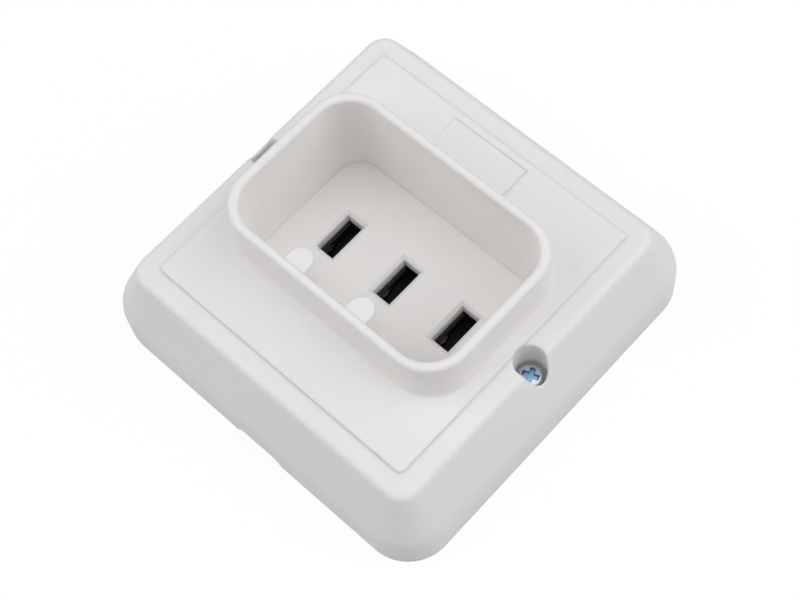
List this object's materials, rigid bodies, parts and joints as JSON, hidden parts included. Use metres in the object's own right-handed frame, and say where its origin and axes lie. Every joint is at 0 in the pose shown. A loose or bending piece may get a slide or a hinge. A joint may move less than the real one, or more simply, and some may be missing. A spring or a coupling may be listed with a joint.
{
  "type": "cooker socket",
  "caption": "Surface-mounted cooker socket: square white housing with sloped sides, a raised collar round a deep rectangular well, flat contact slots and coding ribs.",
  "frame": {"origin": "centre of the flat back of the housing, on the wall's surface", "axes": "+X along the row of contact slots, +Y up the wall towards the label recess and the terminals, +Z out of the wall"},
  "size_m": [0.085, 0.085, 0.032],
  "materials": {
    "white_cover": "satin moulded white, fine even grain",
    "white_base": "plain moulded white",
    "black_carrier": "glossy black thermoset",
    "black_sheet": "matt black sheet",
    "contact_bronze": "rolled strip, satin",
    "bar_brass": "rolled bar, satin",
    "spring_steel": "tempered strip, satin",
    "plated_steel": "zinc plated, satin",
    "blue_zinc": "blue-white zinc plated, bright",
    "retainer_nylon": "natural nylon"
  },
  "bodies": {
    "root": {"front_cover": "white_cover", "rear_base": "white_base", "contact_carrier": "black_carrier", "insulating_sheet": "black_sheet", "contact_jaw_line": "contact_bronze", "contact_jaw_earth": "contact_bronze", "contact_jaw_neutral": "contact_bronze", "busbar_line": "bar_brass", "busbar_earth": "bar_brass", "busbar_neutral": "bar_brass", "jaw_spring_line": "spring_steel", "jaw_spring_earth": "spring_steel", "jaw_spring_neutral": "spring_steel", "terminal_cage_line": "plated_steel", "terminal_cage_earth": "plated_steel", "terminal_cage_neutral": "plated_steel", "terminal_screws": "plated_steel", "contact_rivets": "bar_brass", "carrier_screws": "plated_steel", "cover_screws": "blue_zinc", "cover_nuts": "plated_steel", "screw_retainers": "retainer_nylon"}
  },
  "joints": []
}
